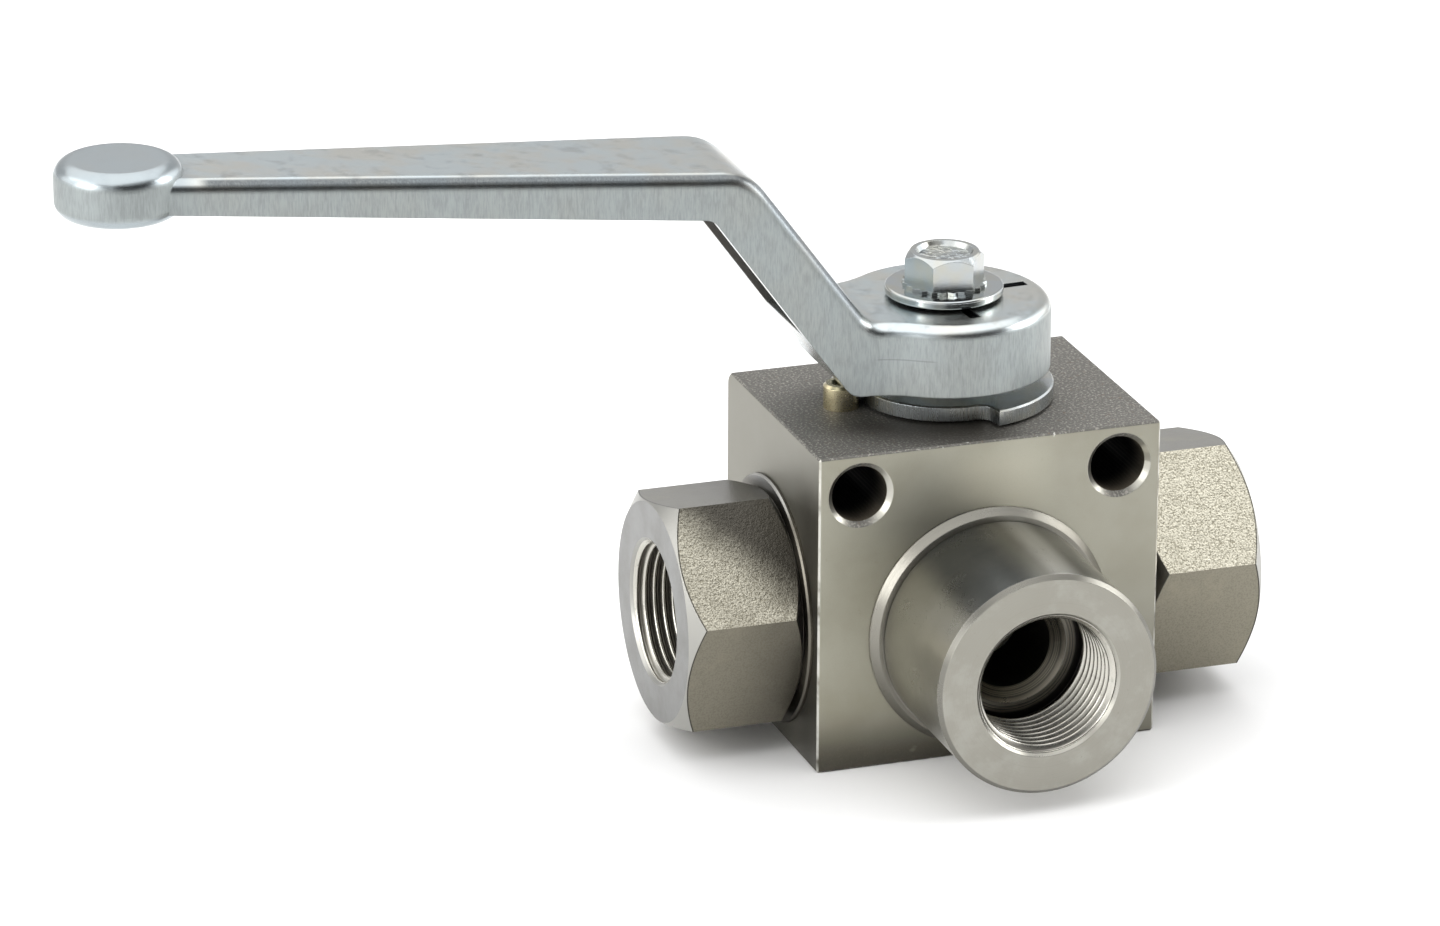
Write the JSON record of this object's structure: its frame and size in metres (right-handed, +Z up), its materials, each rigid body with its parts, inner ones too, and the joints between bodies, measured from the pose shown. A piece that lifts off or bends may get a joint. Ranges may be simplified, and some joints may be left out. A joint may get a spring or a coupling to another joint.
{
  "type": "three-way block ball valve",
  "caption": "Steel block ball valve with three threaded ports, an L-bored ball and a cranked hand lever that turns between two stops.",
  "frame": {"origin": "centre of the block's bottom face, straight under the stem axis", "axes": "+X out of the right-hand port, -Y out of the front port, +Z up the stem"},
  "size_m": [0.2219, 0.0815, 0.1223],
  "materials": {
    "machined_block": "satin machined steel with a thin zinc coat, raw rolled top",
    "hexagon_bar": "bright grainy hexagon bar, turned end faces",
    "turned_barrel": "turned satin steel",
    "seat_plastic": "off-white acetal",
    "seal_rubber": "black nitrile",
    "ball_steel": "hard chromed",
    "stem_steel": "turned steel",
    "zinc_plate": "bluish bright zinc",
    "pin_steel": "faint yellow zinc",
    "cast_lever": "bluish zinc over a brushed casting",
    "zinc_screw": "bright bluish zinc"
  },
  "bodies": {
    "housing": {"valve_block": "machined_block", "left_adapter": "hexagon_bar", "right_adapter": "hexagon_bar", "front_adapter": "turned_barrel", "left_seat": "seat_plastic", "right_seat": "seat_plastic", "front_seat": "seat_plastic", "rear_seat": "seat_plastic", "left_seat_seal": "seal_rubber", "right_seat_seal": "seal_rubber", "front_seat_seal": "seal_rubber", "rear_seat_seal": "seal_rubber", "left_adapter_seal": "seal_rubber", "right_adapter_seal": "seal_rubber", "front_adapter_seal": "seal_rubber", "stop_pin": "pin_steel"},
    "handle": {"lever": "cast_lever", "lever_washer": "zinc_plate", "tooth_washer": "zinc_plate", "lever_screw": "zinc_screw", "stop_disc": "zinc_plate", "stem": "stem_steel", "stem_thrust_washer": "seat_plastic", "stem_seal_lower": "seal_rubber", "stem_seal_upper": "seal_rubber", "stem_backup_ring": "seat_plastic"},
    "ball": {"ball": "ball_steel"}
  },
  "joints": [
    {"name": "lever_turn", "type": "hinge", "parent": "housing", "child": "handle", "pos_m": [0, 0, 0.07], "axis": [0, 0, 1], "range_deg": [-90, 0]},
    {"name": "ball_turn", "type": "hinge", "parent": "housing", "child": "ball", "pos_m": [0, 0, 0.025], "axis": [0, 0, 1], "range_deg": [-90, 0]}
  ],
  "couplings": [
    {"joint": "ball_turn", "follows": "lever_turn", "ratio": 1}
  ]
}
